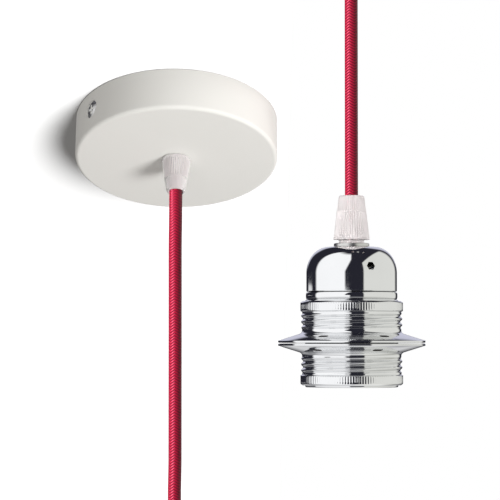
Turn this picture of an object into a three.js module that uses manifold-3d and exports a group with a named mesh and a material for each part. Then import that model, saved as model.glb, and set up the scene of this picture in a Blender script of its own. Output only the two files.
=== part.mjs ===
// Pendant cord set: a round ceiling rose, a textile covered cord and a metal screw lampholder
// with two shade rings. Millimetres, +Z up, plumb. The origin is the middle of the rose's
// ceiling face. The ceiling slopes, so the rose leans and its cord turns down to plumb.
import * as THREE from 'three';
import { mergeVertices } from 'three/addons/utils/BufferGeometryUtils.js';
import Module from 'manifold-3d';

const wasm = await Module();
wasm.setup();

// Shared fits
const clearance = 0.3; // between pieces that touch
const overshoot = 1; // how far a cutter runs past the wall it cuts
const ceilingSlope = 25.6; // degrees

// Ceiling rose
const roseRadius = 40.5;
const roseHeight = 17.8;
const roseWall = 0.8;
const roseCornerRadius = 1.6;
const roseSegments = 48;

// Strap that the rose is screwed to, and its two side screws
const strapWidth = 16;
const strapThickness = 1.2;
const strapEarHeight = 13;
const strapInset = 1.6; // from the cup's wall to the strap's ears
const strapAngle = -145; // degrees round the rose's axis, from +X to the screw that shows
const ceilingSlotOffset = 22;
const ceilingSlotLength = 12;
const ceilingSlotWidth = 4.5;
const sideScrewDepth = 8; // below the ceiling face
const screwHeadRadius = 3.4;
const screwHeadHeight = 2;
const screwShankRadius = 1.9;
const screwShankLength = 7;
const screwCrossLength = 4;
const screwCrossWidth = 0.9;
const screwCrossDepth = 1.1;

// Terminal block under the strap
const blockPitch = 8;
const blockDepth = 14;
const blockHeight = 9;
const blockPoles = 3;
const blockOffset = 17; // from the rose's axis, along the strap
const sleeveRadius = 2.2;
const sleeveBore = 1.4;
const terminalScrewRadius = 1.6;
const terminalScrewLength = 2.6;
const terminalScrewSpacing = 7;
const terminalSlotWidth = 0.5;
const terminalSlotDepth = 0.7;

// Cord and its three cores
const cordRadius = 2.6;
const cordSides = 10;
const coreRadius = 0.95;
const coreSides = 8;
const coreSpread = 1.3; // from the cord's middle to each core's middle

// Cord grips: a ribbed cone screwed on a hollow threaded stem
const roseGrip = {
  length: 14.8,
  baseRadius: 5.95,
  endRadius: 3.75,
  stemRadius: 4,
  stemInside: 6.5,
  stemOutside: 6,
};
const holderGrip = {
  length: 17.8,
  baseRadius: 7.2,
  endRadius: 5.1,
  stemRadius: 5,
  stemInside: 7,
  stemOutside: 8,
};
const gripRibs = 28;
const gripRibDepth = 0.22;
const gripRibbedShare = 0.66; // of the cone's length, from its wide end
const gripCollarStep = 0.25;
const nutThickness = 3;
const roseNutRadius = 7;
const holderNutRadius = 8.5;

// Lampholder: places along its axis are measured down from the top of the dome
const holderX = 69.7;
const holderTop = -51.4;
const plumbY = -18;
const domeRadius = 17.9;
const domeShoulder = 8.6; // how far the shoulder reaches in from the wall
const domeShoulderHeight = 10.4;
const domeHeight = 17.7;
const domeWall = 0.7;
const domeLockHoleRadius = 1.75;
const domeLockHoleDepth = 7.9;
const domeLockHoleAngle = -67; // degrees from +X
const bushFlangeRadius = 7;
const bushFlangeHeight = 1.5;
const bushNeckRadius = 6.2;
const gripLift = 1.4; // the grip stops short of the bush
const holderSegments = 36;
const barrelRadius = 18.4;
const barrelWall = 0.7;
const barrelBottom = 55.4;
const barrelBead = 2.6; // the rolled bead under the dome
const barrelBeadStep = 0.6;
const barrelLipRadius = 0.6;

// Shade rings: pressed sheet, thread rolled into the neck, knurled edge
const ringRadius = 29.1;
const ringRimThickness = 1;
const ringSheet = 0.8;
const ringNeckRadius = 19.6;
const ringHeight = 16.6;
const ringFilletRadius = 1.8; // between the sloping flange and the neck
const ringFilletHeight = 1.5;
const ringNeckFoot = 5; // where the fillet turns into the neck
const ringMeet = 38; // the plane where the two rings meet
const ringThreadPitch = 2.4;
const ringThreadDepth = 0.8;
const ringThreadStart = 5.2;
const ringThreadEnd = 12.2;
const ringKnurlStart = 12.6;
const ringKnurlRadius = 20.3;
const ringKnurlDepth = 0.35;
const ringKnurlTeeth = 60;
const ringSlotCount = 6;
const ringSlotRadius = 23.6;
const ringSlotLength = 4.2;
const ringSlotWidth = 1.5;
const upperRingTurn = 0; // degrees
const lowerRingTurn = 7;

// Socket inside the barrel
const insertRadius = 17.35;
const insertPlateTop = 26;
const insertPlate = 4;
const insertBore = 14.9;
const insertBottom = 54.2;
const insertBossRadius = 9;
const insertBossHeight = 4;
const shellRadius = 14.4; // the brass screw shell's outside
const shellWall = 0.9; // to the middle of its thread
const shellSegments = 24;
const shellTop = 31.5;
const shellBottom = 52;
const shellThreadPitch = 3.63;
const shellThreadDepth = 1;
const contactWidth = 5;
const contactThickness = 0.5;
const contactLength = 17;
const contactDrop = 5;
const socketScrewRing = 5.4; // radius of the ring of terminal screws
const socketScrewRadius = 1.9;
const socketScrewHeight = 2.2;

// Coil of the cord that isn't seen, its ties and the ceiling hook that carries it
const coilMidRadius = 31;
const coilPitch = 5.35;
const coilTurns = 3.5; // in on the right going up, out on the left going down
const coilHeight = 84; // its middle, above the origin
const coilSegments = 32;
const tieWidth = 2.6;
const tieThickness = 1;
const tieAngles = [35, 145]; // degrees round the coil, from +X
const hookWireRadius = 1.6;
const hookShank = 11;
const hookCollarRadius = 4.2;
const hookCollarHeight = 1.6;

// Worked out from the sizes above
const strapReach = roseRadius - roseWall - strapInset;
const toRadians = THREE.MathUtils.degToRad;
const coilHalfRadial = coilPitch / 2;
const coilHalfAxial = ((coilTurns + 1) * coilPitch) / 2;
const coilX = holderX + coilMidRadius;
const coilY = plumbY - (coilTurns * coilPitch) / 2;
const hookBowlRadius = Math.hypot(coilHalfAxial, coilHalfRadial) + clearance * 2 + hookWireRadius;
const cordIntoRose = roseHeight - roseGrip.stemInside - 0.6; // where the cord ends, on the axis
const cordIntoHolder = holderTop + bushFlangeHeight + gripLift - holderGrip.stemInside - 0.5;
const onRoseAxis = (depth) => [
  0, -depth * Math.sin(toRadians(ceilingSlope)), -depth * Math.cos(toRadians(ceilingSlope)),
];

// The cord's free stretches, as points along its middle. The first runs down from the rose,
// turns in a wide bend and climbs to the coil; the second drops from the coil to the holder.
const roseStretch = [
  onRoseAxis(cordIntoRose), onRoseAxis(21), onRoseAxis(32.4),
  [-0.1, -15.9, -34.8], [-0.3, -17.4, -41.5], [-0.5, -18, -50], [-0.5, -18, -72],
  [-0.5, -18, -104], [-0.5, -18, -134], [-0.5, -18, -157], [2.8, -18, -180],
  [12.2, -18.4, -200], [27.8, -19.8, -215.5], [48, -22.5, -224], [69, -26, -226.5],
  [90, -29.8, -223], [109, -33.4, -212], [123, -35.8, -195.5], [130.8, -36.7, -176],
  [133.4, -36.7, -155], [133.8, -36.7, -120], [133.8, -36.7, -75], [133.6, -36.7, -25],
  [132.8, -36.7, 20], [132, -36.7, 50], [131.7, -36.7, 65.6],
];
const holderStretch = [
  [holderX, plumbY, 65.6], [holderX, plumbY, 45], [holderX, plumbY, 20],
  [holderX, plumbY, -5], [holderX, plumbY, -30], [holderX, plumbY, -45],
  [holderX, plumbY, cordIntoHolder],
];

const finishes = {
  whiteCoat: [0xdddcd6, 0.55, 0],
  chrome: [0xd9dadc, 0.08, 1],
  zinc: [0xa9adb0, 0.35, 1],
  clearNylon: [0xe6dfdf, 0.4, 0],
  redTextile: [0xb01040, 0.85, 0],
  brass: [0xc9a455, 0.3, 1],
  porcelain: [0xf2f0ea, 0.25, 0],
  whiteNylon: [0xeeeeea, 0.5, 0],
  brownCore: [0x5a3320, 0.5, 0],
  blueCore: [0x2a58a8, 0.5, 0],
  earthCore: [0x8bb02e, 0.5, 0],
};

// Mesh helpers

function asSolid(geometry) {
  const bare = geometry.clone();
  for (const name of Object.keys(bare.attributes)) {
    if (name !== 'position') bare.deleteAttribute(name);
  }
  const merged = mergeVertices(bare, 1e-4);
  const points = merged.attributes.position.array;
  const faces = [];
  let volume = 0;
  const at = (i) => new THREE.Vector3().fromArray(points, i * 3);
  const index = merged.index.array;
  for (let i = 0; i < index.length; i += 3) {
    const [a, b, c] = [index[i], index[i + 1], index[i + 2]];
    if (a === b || b === c || a === c) continue;
    faces.push([a, b, c]);
    volume += at(a).dot(at(b).cross(at(c)));
  }
  const outward = volume < 0 ? faces.map(([a, b, c]) => [a, c, b]) : faces;
  return new wasm.Manifold(new wasm.Mesh({
    numProp: 3,
    vertProperties: new Float32Array(points),
    triVerts: new Uint32Array(outward.flat()),
  }));
}

function asGeometry(solid) {
  const mesh = solid.getMesh();
  const geometry = new THREE.BufferGeometry();
  geometry.setAttribute('position', new THREE.BufferAttribute(mesh.vertProperties, 3));
  geometry.setIndex(new THREE.BufferAttribute(mesh.triVerts, 1));
  geometry.computeVertexNormals();
  return geometry;
}

// A solid of revolution about Z from a closed outline of [radius, height] points.
function revolve(outline, segments) {
  const loop = [...outline, outline[0]].map(([r, z]) => new THREE.Vector2(r, z));
  return new THREE.LatheGeometry(loop, segments).rotateX(Math.PI / 2);
}

function disc(radius, bottom, top, segments = 24) {
  const height = top - bottom;
  const geometry = new THREE.CylinderGeometry(radius, radius, height, segments);
  return geometry.rotateX(Math.PI / 2).translate(0, 0, bottom + height / 2);
}

// Moves each point in or out from the Z axis by shift(angle, height, radius).
function displace(geometry, shift) {
  const place = geometry.attributes.position;
  for (let i = 0; i < place.count; i += 1) {
    const [x, y, z] = [place.getX(i), place.getY(i), place.getZ(i)];
    const radius = Math.hypot(x, y);
    if (radius > 0) {
      const scale = (radius + shift(Math.atan2(y, x), z, radius)) / radius;
      place.setXYZ(i, x * scale, y * scale, z);
    }
  }
  return geometry;
}

// A thread rolled into a sheet: a helical wave that fades out at both ends.
function rolledThread(pitch, depth, start, end) {
  return (angle, z) => {
    const fade = THREE.MathUtils.smoothstep(z, start, start + pitch / 2)
      * (1 - THREE.MathUtils.smoothstep(z, end - pitch / 2, end));
    return (depth / 2) * fade * Math.cos((2 * Math.PI * z) / pitch - angle);
  };
}

function arc(centreR, centreZ, radiusR, radiusZ, from, to, steps) {
  return Array.from({ length: steps + 1 }, (_, i) => {
    const angle = toRadians(from + ((to - from) * i) / steps);
    return [centreR + radiusR * Math.cos(angle), centreZ + radiusZ * Math.sin(angle)];
  });
}

function levels(from, to, step) {
  const count = Math.max(1, Math.round((to - from) / step));
  return Array.from({ length: count + 1 }, (_, i) => from + ((to - from) * i) / count);
}

function polygon(radius, sides, turn = 0) {
  return new THREE.Shape(Array.from({ length: sides }, (_, i) => {
    const angle = turn + (2 * Math.PI * i) / sides;
    return new THREE.Vector2(radius * Math.cos(angle), radius * Math.sin(angle));
  }));
}

// A round bar along a smooth line through the points, with flat closed ends.
function rod(points, radius, sides, steps) {
  const line = new THREE.CatmullRomCurve3(points.map((p) => new THREE.Vector3(...p)));
  return new THREE.ExtrudeGeometry(polygon(radius, sides), {
    steps,
    bevelEnabled: false,
    extrudePath: line,
  });
}

function slab(width, depth, bottom, top) {
  return new THREE.BoxGeometry(width, depth, top - bottom)
    .translate(0, 0, (bottom + top) / 2);
}

function slotShape(length, width) {
  const shape = new THREE.Shape();
  const straight = (length - width) / 2;
  shape.absarc(straight, 0, width / 2, -Math.PI / 2, Math.PI / 2);
  shape.absarc(-straight, 0, width / 2, Math.PI / 2, (3 * Math.PI) / 2);
  return shape;
}

function plate(shape, bottom, top, curveSegments = 6) {
  return new THREE.ExtrudeGeometry(shape, {
    depth: top - bottom,
    bevelEnabled: false,
    curveSegments,
  }).translate(0, 0, bottom);
}

function cut(geometry, ...cutters) {
  return asGeometry(cutters.reduce(
    (solid, cutter) => solid.subtract(asSolid(cutter)),
    asSolid(geometry),
  ));
}

function join(...geometries) {
  return asGeometry(geometries.map(asSolid).reduce((a, b) => a.add(b)));
}

function piece(name, geometry, finish) {
  const [color, roughness, metalness] = finishes[finish];
  const material = new THREE.MeshStandardMaterial({ color, roughness, metalness });
  const mesh = new THREE.Mesh(asGeometry(asSolid(geometry)), material);
  mesh.name = name;
  return mesh;
}

// Ceiling rose

function sideCutter(radius, length, depth) {
  return new THREE.CylinderGeometry(radius, radius, length, 24)
    .rotateZ(Math.PI / 2).translate(0, 0, -depth);
}

function roseCup() {
  const inner = roseRadius - roseWall;
  const cornerInner = roseCornerRadius - roseWall;
  const hole = roseGrip.stemRadius + clearance;
  const cornerR = roseRadius - roseCornerRadius;
  const cornerZ = -roseHeight + roseCornerRadius;
  const outline = [
    [roseRadius, 0],
    ...arc(cornerR, cornerZ, roseCornerRadius, roseCornerRadius, 0, -90, 4),
    [hole, -roseHeight],
    [hole, -roseHeight + roseWall],
    ...arc(cornerR, cornerZ, cornerInner, cornerInner, -90, 0, 2),
    [inner, 0],
  ];
  const across = sideCutter(screwHeadRadius + clearance, 2 * (roseRadius + overshoot), sideScrewDepth)
    .rotateZ(toRadians(strapAngle));
  return cut(revolve(outline, roseSegments), across);
}

function strap() {
  const reach = strapReach;
  const earInner = reach - strapThickness;
  const span = 2 * reach;
  const top = slab(span, strapWidth, -strapThickness, 0);
  const round = disc(reach, -strapEarHeight - overshoot, overshoot, roseSegments);
  const ears = [-1, 1].map((side) => slab(
    strapThickness * 2, strapWidth, -strapEarHeight, 0,
  ).translate(side * (earInner + strapThickness / 2), 0, 0));
  const blank = asSolid(join(top, ...ears)).intersect(asSolid(round));
  const slots = [-1, 1].map((side) => plate(
    slotShape(ceilingSlotLength, ceilingSlotWidth), -strapThickness - overshoot, overshoot,
  ).translate(side * ceilingSlotOffset, 0, 0));
  return cut(
    asGeometry(blank),
    ...slots,
    sideCutter(screwShankRadius + clearance, span + overshoot, sideScrewDepth),
  );
}

function crossRecess(length, width, top, depth) {
  return [0, Math.PI / 2].map((turn) => slab(length, width, top - depth, top + overshoot)
    .rotateZ(turn));
}

// Along +Z, with the seat of the head at zero and the shank below it.
function sideScrew() {
  const outline = [
    [0.001, -screwShankLength],
    [screwShankRadius - 0.5, -screwShankLength],
    [screwShankRadius, -screwShankLength + 0.7],
    [screwShankRadius, 0],
    [screwHeadRadius, 0],
    [screwHeadRadius, screwHeadHeight * 0.45],
    [screwHeadRadius * 0.82, screwHeadHeight * 0.85],
    [screwHeadRadius * 0.45, screwHeadHeight],
    [0.001, screwHeadHeight],
  ];
  return cut(
    revolve(outline, 24),
    ...crossRecess(screwCrossLength, screwCrossWidth, screwHeadHeight, screwCrossDepth),
  );
}

function terminalHousing() {
  const width = blockPoles * blockPitch;
  const top = -strapThickness - clearance;
  const body = slab(blockDepth, width, top - blockHeight, top);
  const lane = (i) => (i - (blockPoles - 1) / 2) * blockPitch;
  const cutters = Array.from({ length: blockPoles }, (_, i) => [
    disc(sleeveRadius + clearance, -blockDepth, blockDepth, 16)
      .rotateY(Math.PI / 2).translate(0, lane(i), top - blockHeight / 2),
    ...[-1, 1].map((side) => disc(
      terminalScrewRadius + clearance, top - blockHeight - overshoot, top - blockHeight / 2, 16,
    ).translate((side * terminalScrewSpacing) / 2, lane(i), 0)),
  ]).flat();
  return cut(body, ...cutters);
}

function terminalSleeve() {
  const half = blockDepth / 2 - 0.6;
  const outline = [
    [sleeveBore, -half], [sleeveRadius, -half], [sleeveRadius, half], [sleeveBore, half],
  ];
  return revolve(outline, 16).rotateY(Math.PI / 2);
}

function terminalScrew() {
  const blank = disc(terminalScrewRadius, -terminalScrewLength, 0, 16);
  const slot = slab(
    2 * terminalScrewRadius + overshoot, terminalSlotWidth,
    -terminalScrewLength - overshoot, -terminalScrewLength + terminalSlotDepth,
  );
  return cut(blank, slot);
}

function addTerminalBlock(rose) {
  const block = new THREE.Group();
  const middle = -strapThickness - clearance - blockHeight / 2;
  block.add(piece('terminal_housing', terminalHousing(), 'whiteNylon'));
  for (let i = 0; i < blockPoles; i += 1) {
    const lane = (i - (blockPoles - 1) / 2) * blockPitch;
    const sleeve = piece(`terminal_sleeve_${i + 1}`, terminalSleeve(), 'brass');
    sleeve.position.set(0, lane, middle);
    block.add(sleeve);
    for (const side of [-1, 1]) {
      const end = side < 0 ? 'in' : 'out';
      const screw = piece(`terminal_screw_${end}_${i + 1}`, terminalScrew(), 'zinc');
      const seat = middle - sleeveRadius - clearance;
      screw.position.set((side * terminalScrewSpacing) / 2, lane, seat);
      block.add(screw);
    }
  }
  block.position.set(blockOffset, 0, 0);
  rose.add(block);
}

// Cord grips, pointing down -Z from a wall whose outer face is at zero

function gripCone({ length, baseRadius, endRadius, stemRadius, stemOutside }) {
  const ribbed = length * gripRibbedShare;
  const radiusAt = (down) => baseRadius + ((endRadius - baseRadius) * down) / length;
  const bore = cordRadius + clearance;
  const pocket = stemRadius + clearance;
  const outline = [
    [baseRadius, -clearance],
    [radiusAt(ribbed), -ribbed],
    [radiusAt(ribbed) - gripCollarStep, -ribbed - gripCollarStep],
    [radiusAt(length) - gripCollarStep / 2, -length + 0.5],
    [radiusAt(length) - 0.6, -length],
    [bore, -length],
    [bore, -stemOutside - clearance - (pocket - bore) * 0.5],
    [pocket, -stemOutside - clearance],
    [pocket, -clearance],
  ];
  const cone = revolve(outline, gripRibs * 2);
  const middle = Math.PI / gripRibs;
  return displace(cone, (angle, z, radius) => {
    const onRibs = z > -ribbed - 0.01 && radius > pocket + 0.01;
    const tooth = Math.round((angle + Math.PI) / middle) % 2;
    return onRibs ? -gripRibDepth * tooth : 0;
  });
}

function gripStem({ stemRadius, stemInside, stemOutside }) {
  const bore = cordRadius + clearance;
  const outline = [
    [bore, stemInside], [stemRadius - 0.4, stemInside], [stemRadius, stemInside - 0.4],
    [stemRadius, -stemOutside + 0.4], [stemRadius - 0.4, -stemOutside], [bore, -stemOutside],
  ];
  return revolve(outline, 24);
}

function hexNut(radius, bore, bottom) {
  const shape = polygon(radius, 6);
  shape.holes.push(new THREE.Path(polygon(bore, 24).getPoints()));
  return plate(shape, bottom, bottom + nutThickness);
}

// The cores inside the rose, from the end of the cord to the terminal block.
function addRoseCores(rose) {
  const start = 2 * clearance - cordIntoRose;
  const middle = -strapThickness - clearance - blockHeight / 2;
  const blockFace = blockOffset - blockDepth / 2;
  const kinds = ['earthCore', 'blueCore', 'brownCore'];
  const names = ['rose_core_earth', 'rose_core_neutral', 'rose_core_live'];
  for (let i = 0; i < blockPoles; i += 1) {
    const lane = (i - (blockPoles - 1) / 2) * blockPitch;
    const side = (i - 1) * coreSpread * 1.7;
    const line = [
      [0, side, start], [0.4, side, start + 1.6], [2.6, side + (lane - side) * 0.4, middle - 1],
      [blockFace - 2, lane, middle], [blockFace + 1, lane, middle],
      [blockFace + 4, lane, middle],
    ];
    rose.add(piece(names[i], rod(line, coreRadius, coreSides, 12), kinds[i]));
  }
}

function buildRose() {
  const rose = new THREE.Group();
  rose.add(piece('rose_cup', roseCup(), 'whiteCoat'));

  const fixing = new THREE.Group();
  fixing.rotation.z = toRadians(strapAngle);
  fixing.add(piece('ceiling_strap', strap(), 'zinc'));
  const seat = strapReach + clearance;
  ['side_screw_left', 'side_screw_right'].forEach((name, i) => {
    const screw = piece(name, sideScrew(), 'zinc');
    const turn = new THREE.Group();
    turn.rotation.z = i * Math.PI;
    screw.rotation.y = Math.PI / 2;
    screw.position.set(seat, 0, -sideScrewDepth);
    turn.add(screw);
    fixing.add(turn);
  });
  addTerminalBlock(fixing);
  addRoseCores(fixing);
  rose.add(fixing);

  const grip = new THREE.Group();
  grip.position.z = -roseHeight;
  grip.add(piece('rose_grip_cone', gripCone(roseGrip), 'clearNylon'));
  grip.add(piece('rose_grip_stem', gripStem(roseGrip), 'clearNylon'));
  const bore = roseGrip.stemRadius + clearance;
  grip.add(piece('rose_grip_nut', hexNut(roseNutRadius, bore, roseWall + clearance), 'clearNylon'));
  rose.add(grip);

  rose.rotation.x = toRadians(-ceilingSlope);
  return rose;
}

// Lampholder

function shoulder(radius, reach, height, steps) {
  return arc(radius - reach, -height, reach, height, 90, 0, steps);
}

function dome() {
  const hole = bushNeckRadius + clearance;
  const inside = shoulder(
    domeRadius - domeWall, domeShoulder, domeShoulderHeight - domeWall, 5,
  ).map(([r, z]) => [r, z - domeWall]).reverse();
  const outline = [
    [hole, 0],
    ...shoulder(domeRadius, domeShoulder, domeShoulderHeight, 8),
    [domeRadius, -domeHeight + 0.3],
    [domeRadius - 0.3, -domeHeight],
    [domeRadius - domeWall, -domeHeight],
    ...inside,
    [hole, -domeWall],
  ];
  const lockHole = new THREE.CylinderGeometry(
    domeLockHoleRadius, domeLockHoleRadius, domeRadius, 6,
  ).rotateZ(Math.PI / 2).translate(domeRadius, 0, -domeLockHoleDepth)
    .rotateZ(toRadians(domeLockHoleAngle));
  return cut(revolve(outline, holderSegments), lockHole);
}

function domeBush() {
  const bore = holderGrip.stemRadius + clearance;
  const depth = domeWall + nutThickness + 2 * clearance + 0.6;
  const outline = [
    [bore, bushFlangeHeight], [bushFlangeRadius - 0.3, bushFlangeHeight],
    [bushFlangeRadius, bushFlangeHeight - 0.3], [bushFlangeRadius, clearance],
    [bushNeckRadius, clearance], [bushNeckRadius, -depth], [bore, -depth],
  ];
  return revolve(outline, 32);
}

function barrel() {
  const top = -domeHeight - clearance;
  const inner = barrelRadius - barrelWall;
  const waist = domeRadius - barrelBeadStep / 3;
  const beadMiddle = top - barrelBead / 2;
  const wallTop = top - barrelBead - 0.6;
  const outline = [
    [waist, top],
    ...arc(waist, beadMiddle, barrelBeadStep, barrelBead / 2, 75, -75, 5),
    [waist, wallTop + 0.4],
    [barrelRadius, wallTop],
    [barrelRadius, -barrelBottom + barrelLipRadius],
    [barrelRadius - barrelLipRadius, -barrelBottom],
    [inner, -barrelBottom],
    [inner, wallTop - 1],
    [waist - barrelWall, wallTop],
    [waist - barrelWall, top],
  ];
  return revolve(outline, holderSegments);
}

// One shade ring, standing on its rim with its neck up. The thread shows outside only.
function shadeRing() {
  const bore = ringNeckRadius - ringSheet;
  const filletR = ringNeckRadius + ringFilletRadius;
  const fillet = arc(filletR, ringNeckFoot, ringFilletRadius, ringFilletHeight, 255, 180, 3);
  const under = arc(
    filletR, ringNeckFoot, ringFilletRadius + ringSheet, ringFilletHeight + ringSheet, 180, 250, 3,
  );
  const neck = levels(ringThreadStart, ringThreadEnd, ringThreadPitch / 4)
    .map((z) => [ringNeckRadius, z]);
  const outline = [
    [ringRadius, clearance / 2],
    [ringRadius, ringRimThickness],
    ...fillet,
    ...neck,
    [ringNeckRadius, ringHeight],
    [bore, ringHeight],
    ...under,
    [ringRadius - 2 * ringSheet, clearance / 2],
  ];
  const wave = rolledThread(ringThreadPitch, ringThreadDepth, ringThreadStart, ringThreadEnd);
  const sheet = displace(
    revolve(outline, holderSegments),
    (angle, z, radius) => (radius > bore + ringSheet / 2 ? wave(angle, z) : 0),
  );
  const slots = Array.from({ length: ringSlotCount }, (_, i) => plate(
    slotShape(ringSlotLength, ringSlotWidth), -overshoot, ringNeckFoot + overshoot, 4,
  ).translate(0, ringSlotRadius, 0).rotateZ((2 * Math.PI * (i + 0.5)) / ringSlotCount));
  return cut(join(sheet, knurl()), ...slots);
}

// The knurled edge: a band of teeth round the top of a ring's neck.
function knurl() {
  const count = ringKnurlTeeth * 2;
  const tooth = Array.from({ length: count }, (_, i) => {
    const angle = (2 * Math.PI * i) / count;
    const radius = ringKnurlRadius - (i % 2) * ringKnurlDepth;
    return new THREE.Vector2(radius * Math.cos(angle), radius * Math.sin(angle));
  });
  const band = new THREE.Shape(tooth);
  const wallMiddle = ringNeckRadius - ringSheet / 2;
  band.holes.push(new THREE.Path(polygon(wallMiddle, holderSegments).getPoints()));
  return plate(band, ringKnurlStart + 0.3, ringHeight - 0.5);
}

function socketInsert() {
  const plateBottom = -insertPlateTop - insertPlate;
  const outline = [
    [0.001, -insertPlateTop + insertBossHeight],
    [insertBossRadius, -insertPlateTop + insertBossHeight],
    [insertBossRadius, -insertPlateTop],
    [insertRadius, -insertPlateTop],
    [insertRadius, -insertBottom],
    [insertBore, -insertBottom],
    [insertBore, plateBottom],
    [0.001, plateBottom],
  ];
  return revolve(outline, 36);
}

function screwShell() {
  const rows = levels(-shellBottom, -shellTop, shellThreadPitch / 4);
  const thread = rows.map((z) => [shellRadius - shellWall, z]).reverse();
  const wave = rolledThread(shellThreadPitch, shellThreadDepth, -shellBottom, -shellTop);
  return displace(
    revolve([[shellRadius, -shellBottom], [shellRadius, -shellTop], ...thread], shellSegments),
    (angle, z, radius) => (radius < shellRadius - shellWall / 2 ? wave(angle, z) : 0),
  );
}

// A bent strip under the socket's plate that presses on the lamp's foot.
function centreContact() {
  const half = contactLength / 2;
  const base = -insertPlateTop - insertPlate - clearance;
  const bent = new THREE.Shape([
    new THREE.Vector2(-half, 0),
    new THREE.Vector2(-half + 5, 0),
    new THREE.Vector2(half - 4, -contactDrop + contactThickness),
    new THREE.Vector2(half - 0.5, -contactDrop + 1.6),
    new THREE.Vector2(half, -contactDrop + 1.3),
    new THREE.Vector2(half - 4, -contactDrop),
    new THREE.Vector2(-half + 5, -contactThickness),
    new THREE.Vector2(-half, -contactThickness),
  ]);
  return plate(bent, -contactWidth / 2, contactWidth / 2)
    .rotateX(Math.PI / 2).translate(0, 0, base);
}

function addSocket(holder) {
  holder.add(piece('socket_insert', socketInsert(), 'porcelain'));
  holder.add(piece('socket_screw_shell', screwShell(), 'brass'));
  holder.add(piece('centre_contact', centreContact(), 'brass'));
  const seat = -insertPlateTop + insertBossHeight + clearance;
  ['live', 'neutral', 'earth'].forEach((name, i) => {
    const angle = (2 * Math.PI * i) / 3 + Math.PI / 2;
    const screw = piece(`socket_screw_${name}`, cut(
      disc(socketScrewRadius, seat, seat + socketScrewHeight, 16),
      slab(
        2 * socketScrewRadius + overshoot, terminalSlotWidth,
        seat + socketScrewHeight - terminalSlotDepth, seat + socketScrewHeight + overshoot,
      ),
    ), 'brass');
    screw.position.set(socketScrewRing * Math.cos(angle), socketScrewRing * Math.sin(angle), 0);
    holder.add(screw);
  });
}

function addHolderCores(holder) {
  const start = cordIntoHolder - holderTop - clearance;
  const seat = -insertPlateTop + insertBossHeight + 2 * clearance + socketScrewHeight;
  const names = ['holder_core_live', 'holder_core_neutral', 'holder_core_earth'];
  ['brownCore', 'blueCore', 'earthCore'].forEach((finish, i) => {
    const angle = (2 * Math.PI * i) / 3 + Math.PI / 2;
    const at = (radius, z) => [radius * Math.cos(angle), radius * Math.sin(angle), z];
    const line = [
      at(coreSpread, start), at(coreSpread, start - 1.5), at(4.2, start - 5),
      at(socketScrewRing + 0.6, (start + seat) / 2 - 1), at(socketScrewRing, seat + 0.3),
    ];
    holder.add(piece(names[i], rod(line, coreRadius, coreSides, 12), finish));
  });
}

function buildHolder() {
  const holder = new THREE.Group();
  holder.add(piece('holder_dome', dome(), 'chrome'));
  holder.add(piece('dome_bush', domeBush(), 'zinc'));
  const nutBore = bushNeckRadius + clearance;
  const nutBottom = -domeWall - clearance - nutThickness;
  holder.add(piece('dome_bush_nut', hexNut(holderNutRadius, nutBore, nutBottom), 'zinc'));
  holder.add(piece('holder_barrel', barrel(), 'chrome'));

  const upper = piece('shade_ring_upper', shadeRing(), 'chrome');
  upper.position.z = -ringMeet;
  upper.rotation.z = toRadians(upperRingTurn);
  const lower = piece('shade_ring_lower', shadeRing(), 'chrome');
  lower.position.z = -ringMeet;
  lower.rotation.set(Math.PI, 0, toRadians(lowerRingTurn));
  holder.add(upper, lower);
  addSocket(holder);
  addHolderCores(holder);

  const grip = new THREE.Group();
  grip.position.z = bushFlangeHeight + gripLift - clearance;
  grip.rotation.x = Math.PI;
  grip.add(piece('holder_grip_cone', gripCone(holderGrip), 'clearNylon'));
  grip.add(piece('holder_grip_stem', gripStem(holderGrip), 'clearNylon'));
  holder.add(grip);

  holder.position.set(holderX, plumbY, holderTop);
  return holder;
}

// Cord, coil, ties and hook

function coilRing() {
  const outer = coilMidRadius + coilHalfRadial;
  const inner = coilMidRadius - coilHalfRadial;
  const ease = coilPitch / 4;
  const outline = [
    [inner, -coilHalfAxial + ease], [inner + ease, -coilHalfAxial],
    [outer - ease, -coilHalfAxial], [outer, -coilHalfAxial + ease],
    [outer, coilHalfAxial - ease], [outer - ease, coilHalfAxial],
    [inner + ease, coilHalfAxial], [inner, coilHalfAxial - ease],
  ];
  return revolve(outline, coilSegments).rotateX(Math.PI / 2);
}

function roundedBox(halfWidth, halfHeight, radius) {
  const shape = new THREE.Shape();
  const [x, y] = [halfWidth - radius, halfHeight - radius];
  shape.absarc(x, y, radius, 0, Math.PI / 2);
  shape.absarc(-x, y, radius, Math.PI / 2, Math.PI);
  shape.absarc(-x, -y, radius, Math.PI, 1.5 * Math.PI);
  shape.absarc(x, -y, radius, 1.5 * Math.PI, 2 * Math.PI);
  return shape;
}

// A band round the coil's section, with its axis along Z and the section in X (radial) and Y.
function coilTie() {
  const gap = clearance;
  const outside = roundedBox(
    coilHalfRadial + gap + tieThickness, coilHalfAxial + gap + tieThickness, 2,
  );
  const inside = roundedBox(coilHalfRadial + gap, coilHalfAxial + gap, 1);
  outside.holes.push(new THREE.Path(inside.getPoints(4)));
  return plate(outside, -tieWidth / 2, tieWidth / 2, 4);
}

// The hook lies in the YZ plane, with the middle of its bowl at zero.
function ceilingHook() {
  const bowl = Array.from({ length: 9 }, (_, i) => {
    const angle = toRadians(-200 + i * 31);
    return [0, hookBowlRadius * Math.cos(angle), hookBowlRadius * Math.sin(angle)];
  });
  const neck = hookBowlRadius;
  const line = [
    ...bowl,
    [0, 1.6, neck + 2.2], [0, 0, neck + 6], [0, 0, neck + hookShank],
  ];
  const collar = disc(hookCollarRadius, neck + 6, neck + 6 + hookCollarHeight, 20);
  return join(rod(line, hookWireRadius, 8, 30), collar);
}

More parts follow.
